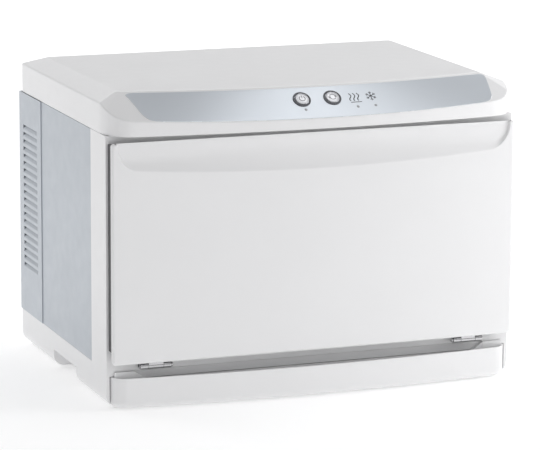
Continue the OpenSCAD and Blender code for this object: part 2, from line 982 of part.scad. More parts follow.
front_frame();
base_pan();
side_panel_left();
side_panel_right();
rear_cover();
rear_cover_screws();
top_cover();
control_fascia();
button_rings();
power_button();
mode_button();
led_power();
led_hot();
led_cool();
control_board();
tact_switches();
wiring_harness();
drip_tray();
door_skin();
door_back_frame();
door_liner();
door_foam();
door_gasket();
door_magnets();
strike_plates();
hinge_bracket_left();
hinge_bracket_right();
hinge_leaf_left();
hinge_leaf_right();
hinge_pin_left();
hinge_pin_right();
hinge_bracket_screws();
hinge_leaf_screws();
inner_chamber();
foam_jacket();
heater_sheet();
cold_block();
peltier_module();
heat_sink();
fan_frame();
fan_rotor();
fan_guard();
fan_screws();
cord_bushing();
power_supply();
standoffs();
thermal_cutout();
temperature_sensor();
wire_rack();
rubber_feet();
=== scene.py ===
import json
import math

import bmesh
import bpy
from mathutils import Matrix, Vector


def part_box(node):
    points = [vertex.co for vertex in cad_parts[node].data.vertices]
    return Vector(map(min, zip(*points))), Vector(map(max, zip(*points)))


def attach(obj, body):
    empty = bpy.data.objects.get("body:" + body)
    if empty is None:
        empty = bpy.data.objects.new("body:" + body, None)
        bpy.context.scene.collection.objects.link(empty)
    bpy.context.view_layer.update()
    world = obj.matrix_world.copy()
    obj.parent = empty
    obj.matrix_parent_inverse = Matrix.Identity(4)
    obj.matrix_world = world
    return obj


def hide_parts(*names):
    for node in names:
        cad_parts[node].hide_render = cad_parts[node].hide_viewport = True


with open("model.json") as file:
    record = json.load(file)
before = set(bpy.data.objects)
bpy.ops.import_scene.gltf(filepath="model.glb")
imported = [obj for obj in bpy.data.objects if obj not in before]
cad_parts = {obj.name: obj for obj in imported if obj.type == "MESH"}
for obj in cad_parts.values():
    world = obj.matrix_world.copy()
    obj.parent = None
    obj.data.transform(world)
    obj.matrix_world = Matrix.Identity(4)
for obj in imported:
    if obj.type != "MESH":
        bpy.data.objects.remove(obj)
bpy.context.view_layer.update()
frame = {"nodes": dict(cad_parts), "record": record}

# design coordinates in millimetres: x to the right, y back from the front plane of the body, z up
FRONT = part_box("front_frame")[0].y
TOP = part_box("top_cover")[1].z * 1000
LID_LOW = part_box("front_frame")[1].z * 1000 + 0.1
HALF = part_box("front_frame")[1].x * 1000


def at(x, y, z):
    """Design coordinates in millimetres to a point of the scene in metres."""
    return Vector((x / 1000, FRONT + y / 1000, z / 1000))


# ---------------------------------------------------------------- materials

def material(name, base, rough, metal=0.0, vary=0.015, rough_vary=0.06, grain=900.0, bump=0.1,
             depth=0.00004, coat=0.0, flakes=0.0, stretch=None, wear=0.0):
    """Procedural material: a base colour that drifts by vary, a roughness that drifts by rough_vary, and a
    fine grain in the bump. flakes adds bright specks and wear adds darker scuffs."""
    m = bpy.data.materials.new(name)
    m.use_nodes = True
    nt = m.node_tree
    bsdf = nt.nodes["Principled BSDF"]
    bsdf.inputs["Metallic"].default_value = metal
    bsdf.inputs["Specular IOR Level"].default_value = 0.5
    bsdf.inputs["Coat Weight"].default_value = coat
    bsdf.inputs["Coat Roughness"].default_value = 0.12
    co = nt.nodes.new("ShaderNodeTexCoord")
    src = co.outputs["Object"]
    if stretch:
        mp = nt.nodes.new("ShaderNodeMapping")
        mp.inputs["Scale"].default_value = stretch
        nt.links.new(src, mp.inputs["Vector"])
        fine_src = mp.outputs["Vector"]
    else:
        fine_src = src

    def noise(scale, detail, vec):
        n = nt.nodes.new("ShaderNodeTexNoise")
        n.inputs["Scale"].default_value = scale
        n.inputs["Detail"].default_value = detail
        nt.links.new(vec, n.inputs["Vector"])
        return n.outputs["Fac"]

    def ranged(fac, a, b, lo=0.3, hi=0.7):
        r = nt.nodes.new("ShaderNodeMapRange")
        r.inputs["From Min"].default_value = lo
        r.inputs["From Max"].default_value = hi
        r.inputs["To Min"].default_value = a
        r.inputs["To Max"].default_value = b
        nt.links.new(fac, r.inputs["Value"])
        return r.outputs["Result"]

    def mixed(fac, a, b):
        x = nt.nodes.new("ShaderNodeMix")
        x.data_type = "RGBA"
        nt.links.new(fac, x.inputs["Factor"])
        for sock, c in ((6, a), (7, b)):
            if isinstance(c, bpy.types.NodeSocket):
                nt.links.new(c, x.inputs[sock])
            else:
                x.inputs[sock].default_value = (*c, 1)
        return x.outputs[2]

    broad = noise(14.0, 3.0, src)
    fine = noise(grain, 2.0, fine_src)
    low = tuple(max(0.0, c * (1 - vary)) for c in base)
    high = tuple(min(1.0, c * (1 + vary)) for c in base)
    colour = mixed(ranged(broad, 0, 1), low, high)
    if flakes:
        vor = nt.nodes.new("ShaderNodeTexVoronoi")
        vor.inputs["Scale"].default_value = 2600.0
        nt.links.new(fine_src, vor.inputs["Vector"])
        bright = tuple(min(1.0, c * (1 + flakes)) for c in base)
        colour = mixed(ranged(vor.outputs["Distance"], 0.5, 0.0, 0.0, 0.4), colour, bright)
    if wear:
        scuff = noise(45.0, 6.0, src)
        worn = tuple(c * (1 - wear) for c in base)
        colour = mixed(ranged(scuff, 0, 1, 0.62, 0.75), colour, worn)
    nt.links.new(colour, bsdf.inputs["Base Color"])
    smudge = noise(70.0, 4.0, src)
    nt.links.new(ranged(smudge, max(0.02, rough - rough_vary), min(1.0, rough + rough_vary)),
                 bsdf.inputs["Roughness"])
    b = nt.nodes.new("ShaderNodeBump")
    b.inputs["Strength"].default_value = bump
    b.inputs["Distance"].default_value = depth
    nt.links.new(fine, b.inputs["Height"])
    nt.links.new(b.outputs["Normal"], bsdf.inputs["Normal"])
    return m


WHITE = (0.83, 0.83, 0.835)
MATS = {
    "white_moulding": material("white_moulding", WHITE, 0.34, vary=0.006, grain=1400, bump=0.12, coat=0.15),
    "silver_sheet": material("silver_sheet", (0.50, 0.535, 0.575), 0.42, 0.35, vary=0.015, grain=2400,
                             bump=0.1, flakes=0.25, coat=0.1),
    "fascia_film": material("fascia_film", (0.60, 0.635, 0.675), 0.4, 0.85, vary=0.006,
                            rough_vary=0.008, grain=2600, bump=0.05, flakes=0.12),
    "fasteners": material("fasteners", (0.6, 0.6, 0.61), 0.3, 1.0, grain=1200, bump=0.15, wear=0.2),
    "ring_black": material("ring_black", (0.09, 0.09, 0.1), 0.25, 0.3, grain=1800, bump=0.05),
    "button_silver": material("button_silver", (0.55, 0.555, 0.575), 0.3, 0.75, grain=2600, bump=0.06),
    "led_lens": material("led_lens", (0.36, 0.37, 0.38), 0.15, grain=1500, bump=0.03, coat=0.5),
    "circuit_board": material("circuit_board", (0.03, 0.2, 0.08), 0.4, vary=0.12, grain=600, bump=0.2),
    "switch_black": material("switch_black", (0.035, 0.035, 0.037), 0.5, vary=0.1, grain=900, bump=0.2),
    "door_back": material("door_back", (0.13, 0.13, 0.135), 0.55, vary=0.06, grain=1100, bump=0.3, wear=0.1),
    "liner_white": material("liner_white", (0.78, 0.78, 0.775), 0.36, vary=0.006, rough_vary=0.03,
                            grain=900, bump=0.08, coat=0.1),
    "foam": material("foam", (0.83, 0.79, 0.6), 0.95, vary=0.06, grain=350, bump=0.9, depth=0.0006),
    "gasket_rubber": material("gasket_rubber", (0.075, 0.075, 0.08), 0.62, vary=0.1, grain=700, bump=0.35,
                              wear=0.15),
    "magnet": material("magnet", (0.08, 0.08, 0.085), 0.5, 0.2, vary=0.15, grain=500, bump=0.5),
    "hinge_steel": material("hinge_steel", (0.56, 0.56, 0.57), 0.18, 1.0, vary=0.04, grain=900, bump=0.05,
                            wear=0.15),
    "aluminium": material("aluminium", (0.78, 0.79, 0.8), 0.33, 1.0, vary=0.03, grain=500, bump=0.25,
                          stretch=(1.0, 24.0, 24.0), wear=0.06),
    "heater_film": material("heater_film", (0.45, 0.16, 0.05), 0.6, vary=0.08, grain=500, bump=0.4),
    "ceramic": material("ceramic", (0.85, 0.85, 0.83), 0.5, vary=0.02, grain=800, bump=0.2),
    "fan_black": material("fan_black", (0.03, 0.03, 0.031), 0.42, vary=0.1, grain=1000, bump=0.2),
    "guard_wire": material("guard_wire", (0.62, 0.62, 0.63), 0.16, 1.0, vary=0.04, grain=700, bump=0.06,
                           wear=0.1),
    "sensor_metal": material("sensor_metal", (0.6, 0.6, 0.6), 0.35, 1.0, vary=0.05, grain=600, bump=0.2),
}
INK = material("printed_ink", (0.035, 0.035, 0.04), 0.5, vary=0.1, grain=2000, bump=0.1)
ICON_GREY = material("icon_grey", (0.16, 0.16, 0.17), 0.4, 0.4, grain=2000, bump=0.05)
# lighter, glossier copy of the film for its edge faces: a painted highlight along the film's rim, where its
# edge catches light
FILM_EDGE_HIGHLIGHT = material("film_edge_painted_highlight", (0.86, 0.87, 0.88), 0.25, 0.4, grain=1800, bump=0.04)

for row in frame["record"]["subparts"]:
    o = frame["nodes"][row["node"]]
    o.data.materials.clear()
    o.data.materials.append(MATS[row["material_slot"]])


# ---------------------------------------------------------------- mesh helpers

def piece(name, verts, faces, slot, body="cabinet", replaces=(), sharp=40.0, bevel=0.0, mats=None,
          weight=True):
    """Mesh object that rides on a body; sharp is in degrees and bevel in metres."""
    mesh = bpy.data.meshes.new(name)
    mesh.from_pydata([tuple(v) for v in verts], [], [tuple(f) for f in faces])
    bm = bmesh.new()
    bm.from_mesh(mesh)
    bmesh.ops.remove_doubles(bm, verts=bm.verts, dist=1e-7)
    bmesh.ops.dissolve_degenerate(bm, edges=bm.edges, dist=1e-7)
    bmesh.ops.recalc_face_normals(bm, faces=bm.faces)
    bm.to_mesh(mesh)
    bm.free()
    for p in mesh.polygons:
        p.use_smooth = True
    mesh.set_sharp_from_angle(angle=math.radians(sharp))
    o = bpy.data.objects.new(name, mesh)
    bpy.context.scene.collection.objects.link(o)
    for m in mats or [MATS[slot]]:
        mesh.materials.append(m)
    if bevel:
        edges = o.modifiers.new("edges", "BEVEL")
        edges.width = bevel
        edges.segments = 3
        edges.limit_method = "ANGLE"
        edges.angle_limit = math.radians(32)
    if weight:
        normals = o.modifiers.new("normals", "WEIGHTED_NORMAL")
        normals.keep_sharp = True
        normals.weight = 60
    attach(o, body)
    if replaces:
        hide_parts(*replaces)
    return o


def grid(rows, closed_u=False, closed_v=False):
    """Faces of a grid of vertices given as rows of equal length."""
    n, k = len(rows), len(rows[0])
    faces = []
    for i in range(n if closed_v else n - 1):
        for j in range(k if closed_u else k - 1):
            i2, j2 = (i + 1) % n, (j + 1) % k
            faces.append((i * k + j, i * k + j2, i2 * k + j2, i2 * k + j))
    return faces


def strips_across(n, k, j, closed):
    """Faces that fill the outline made by the j-th points of n rows of k, with strips from side to side.
    A closed outline starts at the middle of its front, an open one at its right rear end."""
    end = n if closed else n - 1
    faces = []
    for i in range(n // 2):
        quad = [i * k + j, (i + 1) * k + j, (end - 1 - i) * k + j, (end - i) % n * k + j]
        quad = [q for m, q in enumerate(quad) if q not in quad[:m]]
        if len(quad) > 2:
            faces.append(quad)
    return faces


def fillet(pts, radii, n=3):
    """A 3-D polyline with each inner corner rounded over its radius."""
    out = [pts[0]]
    for i in range(1, len(pts) - 1):
        p = pts[i]
        a, b = pts[i - 1] - p, pts[i + 1] - p
        r = min(radii[i], a.length * 0.45, b.length * 0.45)
        pa, pb = p + a.normalized() * r, p + b.normalized() * r
        for j in range(n + 1):
            t = j / n
            out.append(pa * (1 - t) ** 2 + p * 2 * t * (1 - t) + pb * t * t)
    out.append(pts[-1])
    return out


def bezier(p, t):
    """Point at t of the cubic curve in plan with the four control points p."""
    b = ((1 - t) ** 3, 3 * t * (1 - t) ** 2, 3 * t * t * (1 - t), t ** 3)
    return [sum(w * q[i] for w, q in zip(b, p)) for i in range(2)]


def inward(loop):
    """Unit inward normals in plan of a closed loop that runs counter-clockwise seen from above."""
    n = len(loop)
    out = []
    for i in range(n):
        d = (Vector(loop[(i + 1) % n]) - Vector(loop[i - 1])).normalized()
        out.append(Vector((-d.y, d.x)))
    return out


def soften(node, width, segments):
    """Welds a CAD node, merges its coplanar faces and rounds its edges, all as modifiers."""
    o = frame["nodes"][node]
    w = o.modifiers.new("weld", "WELD")
    w.merge_threshold = 2e-6
    d = o.modifiers.new("planar", "DECIMATE")
    d.decimate_type = "DISSOLVE"
    d.angle_limit = math.radians(0.5)
    b = o.modifiers.new("edges", "BEVEL")
    b.width = width
    b.segments = segments
    b.limit_method = "ANGLE"
    b.angle_limit = math.radians(30)
    b.use_clamp_overlap = True
    s = o.modifiers.new("normals", "WEIGHTED_NORMAL")
    s.keep_sharp = True


# ---------------------------------------------------------------- the slope

BOW_HALF = 190.0    # half the span that the bow figures are given for
NOSE_Y, NOSE_Z = -27.4, 296     # lower edge of the slope at the middle
NOSE_BACK, NOSE_RISE = 11.9, 4.7    # how far it bows back and up at the ends of the span
CREST_Y, CREST_BACK = 6.9, 23   # upper edge of the slope, and how far it bows back
SLOPE_LEN = math.hypot(CREST_Y - NOSE_Y, TOP - NOSE_Z)
TILT = math.atan2(TOP - NOSE_Z, CREST_Y - NOSE_Y)


def k2(x):
    return (x / BOW_HALF) ** 2


def nose(x):
    """Depth and height of the slope's lower edge."""
    return NOSE_Y + NOSE_BACK * k2(x), NOSE_Z + NOSE_RISE * k2(x)


def crest(x):
    """Depth of the slope's upper edge, which lies in the flat top."""
    return CREST_Y + CREST_BACK * k2(x)


def slope(x, s, d=0.0):
    """Point on the sloping control front, a share s of the way up it and d millimetres out of it."""
    y0, z0 = nose(x)
    y1 = crest(x)
    a = math.atan2(TOP - z0, y1 - y0)
    return Vector((x, y0 + (y1 - y0) * s - d * math.sin(a), z0 + (TOP - z0) * s + d * math.cos(a)))


def on_slope(x, s):
    """Local frame at a point of the slope: x right, y up the slope, z out of it (metres)."""
    return Matrix.Translation(at(*slope(x, s))) @ Matrix.Rotation(TILT, 4, "X")


# ---------------------------------------------------------------- lid

BEND_X, BEND_Y, BEND_Z = 195, -14.87, 300.95    # where the bowed front ends and the corner facet starts
SIDE_FROM, SIDE_TO = 26, 300    # straight part of the side
TOP_HALF, TOP_FROM, TOP_TO = 202, 39, 279   # flat top: half width, and its side's straight part
REAR_R, TOP_REAR_R = 5, 3


def lid_stations():
    """Outline of the lid, counter-clockwise from the middle of the front. Each station holds x, y and z of
    the edge between side and bevel, then x and y of the flat top's edge above it."""
    st = []
    for i in range(27):
        x = BEND_X * i / 26
        st.append((x, *nose(x), x, crest(x)))
    corner = [(BEND_X, BEND_Y), (217, -12.04), (HALF, 1), (HALF, SIDE_FROM)]

    def plane_front(x, y):
        return BEND_Z + 0.529 * (y - BEND_Y) - 0.017 * (x - BEND_X)

    def plane_side(x):
        return TOP - (x - TOP_HALF) * 0.383

    # the corner turns over two narrow folds, one each side of its facet
    fold_1, fold_2 = 0.61, 0.93
    e1, e2 = bezier(corner, fold_1), bezier(corner, fold_2)
    za, zb = plane_front(*e1), plane_side(e2[0])
    for t in (0.08, 0.16, 0.24, 0.32, 0.4, 0.48, 0.55, 0.59, 0.605, 0.61, 0.615, 0.63, 0.68, 0.75, 0.82,
              0.88, 0.915, 0.925, 0.93, 0.935, 0.945, 0.97, 1.0):
        x, y = bezier(corner, t)
        if t <= fold_1:
            q = t / fold_1
            st.append((x, y, plane_front(x, y), 195 + 5.6 * q, 31.1 + 2.5 * q * q))
        elif t <= fold_2:
            q = (y - e1[1]) / (e2[1] - e1[1])
            st.append((x, y, za + (zb - za) * q, 200.6 + 1.1 * q, 33.6 + 2.4 * q))
        else:
            q = (t - fold_2) / (1 - fold_2)
            st.append((x, y, plane_side(x), 201.7 + 0.3 * q, 36 + 3 * q))
    side_z = plane_side(HALF)
    for i in range(1, 13):
        st.append((HALF, SIDE_FROM + (SIDE_TO - SIDE_FROM) * i / 12, side_z,
                   TOP_HALF, TOP_FROM + (TOP_TO - TOP_FROM) * i / 12))
    for i in range(1, 9):
        a = math.pi / 2 * i / 8
        c, s = math.cos(a), math.sin(a)
        st.append((HALF - REAR_R + REAR_R * c, SIDE_TO + REAR_R * s, side_z,
                   TOP_HALF - TOP_REAR_R + TOP_REAR_R * c, TOP_TO + TOP_REAR_R * s))
    for i in range(1, 8):
        q = 1 - i / 7
        st.append(((HALF - REAR_R) * q, SIDE_TO + REAR_R, side_z,
                   (TOP_HALF - TOP_REAR_R) * q, TOP_TO + TOP_REAR_R))
    left = [(-x, y, z, -tx, ty) for x, y, z, tx, ty in st[1:-1]]
    return st + left[::-1]


def build_lid():
    st = lid_stations()
    low_n = inward([(s[0], s[1]) for s in st])
    top_n = inward([(s[3], s[4]) for s in st])
    rows = []
    for (x, y, zb, tx, ty), nl, nt in zip(st, low_n, top_n):
        def lo(d, z):
            return Vector((x + nl.x * d, y + nl.y * d, z))

        def hi(d, z):
            return Vector((tx + nt.x * d, ty + nt.y * d, z))

        def shrunk(f, z):
            """Point of the top's outline drawn towards the middle of the lid, which never folds."""
            return Vector((tx * (1 - f), 160 + (ty - 160) * (1 - 1.6 * f), z))

        outer = fillet([lo(3, LID_LOW + 0.02), lo(0, LID_LOW + 0.02), lo(0, zb), hi(0, TOP),
                        shrunk(0.035, TOP)], [0, 0.7, 1.7, 1.6, 0], n=4)
        inner = [shrunk(0.035, TOP - 3.6), shrunk(0.013, TOP - 3.6), lo(3, zb - 2.4)]
        rows.append([at(*v) for v in outer + inner])
    n, k = len(rows), len(rows[0])
    verts = [v for r in rows for v in r]
    faces = grid(rows, closed_u=True, closed_v=True)
    # the ring between the top's edge and the ceiling's edge is left out, and each is filled across
    top_edge = k - 4
    faces = [f for f in faces if {f[0] % k, f[1] % k} != {top_edge, top_edge + 1}]
    faces += strips_across(n, k, top_edge, True) + strips_across(n, k, top_edge + 1, True)
    piece("lid_moulding", verts, faces, "white_moulding", replaces=("top_cover",), sharp=50)


def build_soffit():
    """Underside of the lid's overhang at the front."""
    front = sorted((x * 0.9925, y + 2.2) for x, y, *_ in lid_stations() if y < 3.2)
    verts = []
    for z in (LID_LOW + 0.3, LID_LOW + 3.0):
        for x, y in front:
            verts += [at(x, y, z), at(x, 3.4, z)]
    m = 2 * len(front)
    e = m - 2
    faces = []
    for a in range(0, e, 2):
        faces += [(a, a + 1, a + 3, a + 2), (m + a, m + a + 2, m + a + 3, m + a + 1),
                  (a, a + 2, m + a + 2, m + a), (a + 1, m + a + 1, m + a + 3, a + 3)]
    faces += [(0, m, m + 1, 1), (e, e + 1, m + e + 1, m + e)]
    piece("lid_soffit", verts, faces, "white_moulding", sharp=30)


build_lid()
build_soffit()

# ---------------------------------------------------------------- fascia film and its print

# stations across the film: x, then its lower and upper edge as shares of the way up the slope
LEFT_END = [(-195.6, 0.83, 0.87), (-195.2, 0.81, 0.885), (-194.2, 0.77, 0.9), (-193.3, 0.695, 0.912),
            (-191.1, 0.5, 0.927), (-188.8, 0.305, 0.936), (-186.9, 0.177, 0.939), (-185, 0.11, 0.94),
            (-183, 0.069, 0.94), (-180, 0.037, 0.94), (-176, 0.014, 0.94), (-170, 0.006, 0.94)]
RIGHT_END = [(181, 0.006, 0.94), (187, 0.012, 0.938), (191, 0.03, 0.934), (194.6, 0.06, 0.93),
             (197, 0.1, 0.926), (199, 0.17, 0.92), (201.3, 0.37, 0.905), (202.6, 0.52, 0.893),
             (203.6, 0.64, 0.876), (204.2, 0.7, 0.85), (204.5, 0.75, 0.81)]


def build_fascia():
    (x0, low, high), x1 = LEFT_END[-1], RIGHT_END[0][0]
    mid = [(x0 + (x1 - x0) * i / 30, low, high) for i in range(1, 30)]
    cols = LEFT_END + mid + RIGHT_END
    n = len(cols)
    rows = []
    for i, (x, lo, hi) in enumerate(cols):
        end = i in (0, n - 1)
        m = min(0.012, (hi - lo) * 0.2)
        # past the bowed front the lid turns away from the slope, so the film stands a little higher
        lift = 0.06 * max(0.0, x - 192)
        edge, face = 0.12 + lift, (0.12 if end else 0.3) + lift
        ss = [(lo, -0.7), (lo, edge), (lo + m, face)]
        ss += [(lo + m + (hi - lo - 2 * m) * j / 6, face) for j in range(1, 6)]
        ss += [(hi - m, face), (hi, edge), (hi, -0.7)]
        rows.append([at(*slope(x, s, d)) for s, d in ss])
    verts = [v for r in rows for v in r]
    k = len(rows[0])
    faces = grid(rows, closed_u=True)
    faces += [tuple(range(k)), tuple(range((n - 1) * k, n * k))[::-1]]
    o = piece("fascia_panel", verts, faces, "fascia_film", replaces=("control_fascia",), sharp=28,
              mats=[MATS["fascia_film"], FILM_EDGE_HIGHLIGHT])
    o.data.update()
    # faces that turn away from the slope are the film's edges and take the painted highlight material
    for p in o.data.polygons:
        out = slope(p.center.x * 1000, 0.5, 1) - slope(p.center.x * 1000, 0.5)
        if p.normal.dot(out) < 0.93:
            p.material_index = 1


build_fascia()


def film_place(x, s):
    """Places strokes on the film round a point of the slope."""
    return lambda u, v, d: at(*slope(x + u, s + v / SLOPE_LEN, d))


def ribbons(name, lines, width, low, high, place, slot, mat, body="cabinet"):
    """Raised strokes: each line is a list of (u, v) in millimetres, put in space by place. The width is one
    number, or one for each line."""
    verts, faces = [], []
    for i, line in enumerate(lines):
        n, base = len(line), len(verts)
        half = (width[i] if isinstance(width, list) else width) / 2
        for j, (u, v) in enumerate(line):
            d = (Vector(line[min(j + 1, n - 1)]) - Vector(line[max(j - 1, 0)])).normalized()
            s = Vector((-d.y, d.x)) * half
            for off, z in ((s, low), (s * 0.85, high), (-s * 0.85, high), (-s, low)):
                verts.append(place(u + off.x, v + off.y, z))
        for p in range(base, base + 4 * (n - 1), 4):
            q = p + 4
            faces += [(p + j, p + (j + 1) % 4, q + (j + 1) % 4, q + j) for j in range(4)]
        last = base + 4 * (n - 1)
        faces += [(base + 3, base + 2, base + 1, base), (last, last + 1, last + 2, last + 3)]
    piece(name, verts, faces, slot, body=body, mats=[mat], sharp=30, weight=False)


def arc(cx, cy, r, a0, a1, n=24):
    return [(cx + r * math.cos(math.radians(a0 + (a1 - a0) * i / n)),
             cy + r * math.sin(math.radians(a0 + (a1 - a0) * i / n))) for i in range(n + 1)]


def heat_icon():
    steps = [i / 22 for i in range(23)]
    lines = [[(c + 1.25 * math.sin(math.pi * 2.05 * t - 0.5) - 0.6, 5.8 - 10.2 * t) for t in steps]
             for c in (-4.2, 0.2, 4.6)]
    lines.append([(-5.8 + 12.4 * i / 6, -6.2) for i in range(7)])
    ribbons("heat_symbol", lines, [1.15, 1.15, 1.15, 0.9], 0.2, 0.36, film_place(42.7, 0.547), "fascia_film",
            INK)


def snow_icon():
    def polar(r, a):
        return r * math.cos(math.radians(a)), r * math.sin(math.radians(a))

    lines = []
    for a in (90, 150, 210):
        x, y = polar(6.1, a)
        lines.append([(-x, -y), (0, 0), (x, y)])
    for a in range(90, 450, 60):
        x, y = polar(3.5, a)
        (x1, y1), (x2, y2) = polar(2.2, a + 48), polar(2.2, a - 48)
        lines.append([(x + x1, y + y1), (x, y), (x + x2, y + y2)])
    ribbons("snow_symbol", lines, [0.95] * 3 + [0.8] * 6, 0.2, 0.36, film_place(61.3, 0.56), "fascia_film",
            INK)


heat_icon()
snow_icon()


# ---------------------------------------------------------------- buttons and lamps

def lathe(name, profile, frame_m, slot, body, replaces=(), n=72):
    """Body of revolution about the local z axis; profile is (radius, z) in millimetres."""
    rows = []
    for i in range(n):
        a = 2 * math.pi * i / n
        rows.append([frame_m @ (Vector((r * math.cos(a), r * math.sin(a), z)) / 1000)
                     for r, z in profile])
    verts = [v for r in rows for v in r]
    faces = grid(rows, closed_u=True, closed_v=True)
    piece(name, verts, faces, slot, body=body, replaces=replaces, sharp=35)


RING_R = 9.7
CAP_R = 7.3
AXIS = 0.0001   # radius of a profile's end on its axis


def power_sign():
    return [arc(0, -0.2, 3.1, 125, 415, 30), [(0, 0.3), (0, 3.6)]]


def changeover_sign():
    """Two curved arrows; each head is a short stroke that is wider than the arc."""
    lines = []
    for turn in (0, 180):
        shaft = arc(0, 0, 3.3, 20 + turn, 150 + turn, 16)
        ex, ey = shaft[0]
        a = math.radians(-70 + turn)
        c, s = math.cos(a), math.sin(a)
        lines += [shaft, [(ex + c * 1.7, ey + s * 1.7), (ex - c * 0.1, ey - s * 0.1)]]
    return lines


# place across the slope, node and body of each button, then the name, strokes and widths of its sign
BUTTONS = [(-15.7, "power_button", "power_key", "power_symbol", power_sign(), 0.85),
           (18.0, "mode_button", "mode_key", "changeover_symbol", changeover_sign(), [0.9, 2.2, 0.9, 2.2])]


def build_controls():
    # the caps stand high enough for their rounded edge to stay above the lid when pressed
    ring = [(CAP_R + 0.35, -5), (CAP_R + 0.35, 0.55), (CAP_R + 0.6, 0.95), (CAP_R + 1.1, 1.15),
            (RING_R - 0.7, 1.12), (RING_R - 0.25, 1.0), (RING_R, 0.7), (RING_R, -5)]
    cap = [(AXIS, -8.4), (2.0, -8.4), (2.0, -2.6), (CAP_R, -2.6), (CAP_R, 1.35), (CAP_R - 0.12, 1.6),
           (CAP_R - 0.45, 1.82), (CAP_R - 1.0, 1.92), (5.75, 1.96), (5.6, 1.72), (5.3, 1.72), (5.15, 1.98),
           (4.2, 2.05), (2.6, 2.12), (1.2, 2.15), (AXIS, 2.16)]
    lamp = [(AXIS, -5), (1.65, -5), (1.65, 0.22), (1.5, 0.42), (1.1, 0.58), (0.6, 0.66), (AXIS, 0.68)]
    for i, (x, node, body, sign, lines, width) in enumerate(BUTTONS):
        m = on_slope(x, 0.579)

        def on_cap(u, v, d, m=m):
            return m @ (Vector((u, v, d)) / 1000)

        lathe(f"button_ring_{i + 1}", ring, m, "ring_black", "cabinet", replaces=("button_rings",))
        lathe(f"{node}_cap", cap, m, "button_silver", body, replaces=(node,))
        ribbons(sign, lines, width, 1.95, 2.25, on_cap, "button_silver", ICON_GREY, body=body)
    for node, x, name in (("led_power", -14.9, "power_lamp"), ("led_hot", 42.9, "heat_lamp"),
                          ("led_cool", 63.0, "cool_lamp")):
        lathe(name, lamp, on_slope(x, 0.27), "led_lens", "cabinet", replaces=(node,), n=32)


build_controls()

# ---------------------------------------------------------------- door

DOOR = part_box("door_skin")
DX = DOOR[1].x * 1000
DZ0, DZ1 = DOOR[0].z * 1000, DOOR[1].z * 1000
DY = (DOOR[0].y - FRONT) * 1000
DOOR_BACK = -11.0
DEEPEST = -11.05    # the front surface stops just short of the back
DOOR_BOW = 2.4
SCOOP = 7.5         # depth of the finger scoop at the door's top edge
RIM_X = 217.6       # outer end of the scoop
RIM_TURN = 193      # where its rim starts to turn up
RIM_IN = 1.6        # how much narrower it is at the top edge
CORNER_FROM = 186   # rim points beyond this belong to the door's corners and sides


def rim_low(x):
    return 242 + 6.7 * (x / 182) ** 2


def rim_curve():
    """Edge of the finger scoop from its top left end round to its top right end, with the points of
    the door's top edge that belong to it."""
    right = []
    for i in range(25):
        x = RIM_TURN * i / 24
        right.append((x, rim_low(x), x))
    for i in range(1, 19):
        a = math.pi / 2 * i / 18
        x = RIM_TURN + (RIM_X - RIM_TURN) * math.sin(a)
        top_x = RIM_TURN + (RIM_X - RIM_IN - RIM_TURN) * (i / 18) ** 0.8
        right.append((x, rim_low(x) + 25 * (1 - math.cos(a)), top_x))
    z_up = right[-1][1]
    for i in range(1, 9):
        q = i / 8
        right.append((RIM_X, z_up + (DZ1 - z_up) * q, RIM_X - RIM_IN * (1 - q) ** 1.2))
    return [(-x, z, -t) for x, z, t in right[:0:-1]] + right


RIM = rim_curve()


def rim_distance(x, z):
    best = 1e9
    for (x0, z0, _), (x1, z1, _) in zip(RIM, RIM[1:]):
        dx, dz = x1 - x0, z1 - z0
        q = max(0, min(1, ((x - x0) * dx + (z - z0) * dz) / (dx * dx + dz * dz + 1e-12)))
        best = min(best, math.hypot(x - x0 - q * dx, z - z0 - q * dz))
    return best


def scoop_depth(x, z):
    low = rim_low(x)
    if z <= low:
        return 0.0
    return SCOOP * (1 - ((DZ1 - z) / (DZ1 - low)) ** 2)


def door_front(x, z, inside):
    """Depth of the door's front, inside the scoop or on the plain face round it."""
    y = DY + DOOR_BOW * k2(x)
    depth, q = scoop_depth(x, z), rim_distance(x, z)
    lip = 0.22 * min(1.0, depth / 2.5)
    if inside:
        round_in = math.sqrt(max(0.0, 1 - (1 - min(1.0, q / 4.2)) ** 2))
        return y + max(depth * round_in, lip)
    return y + lip * (1 - q) ** 2 if q < 1 else y


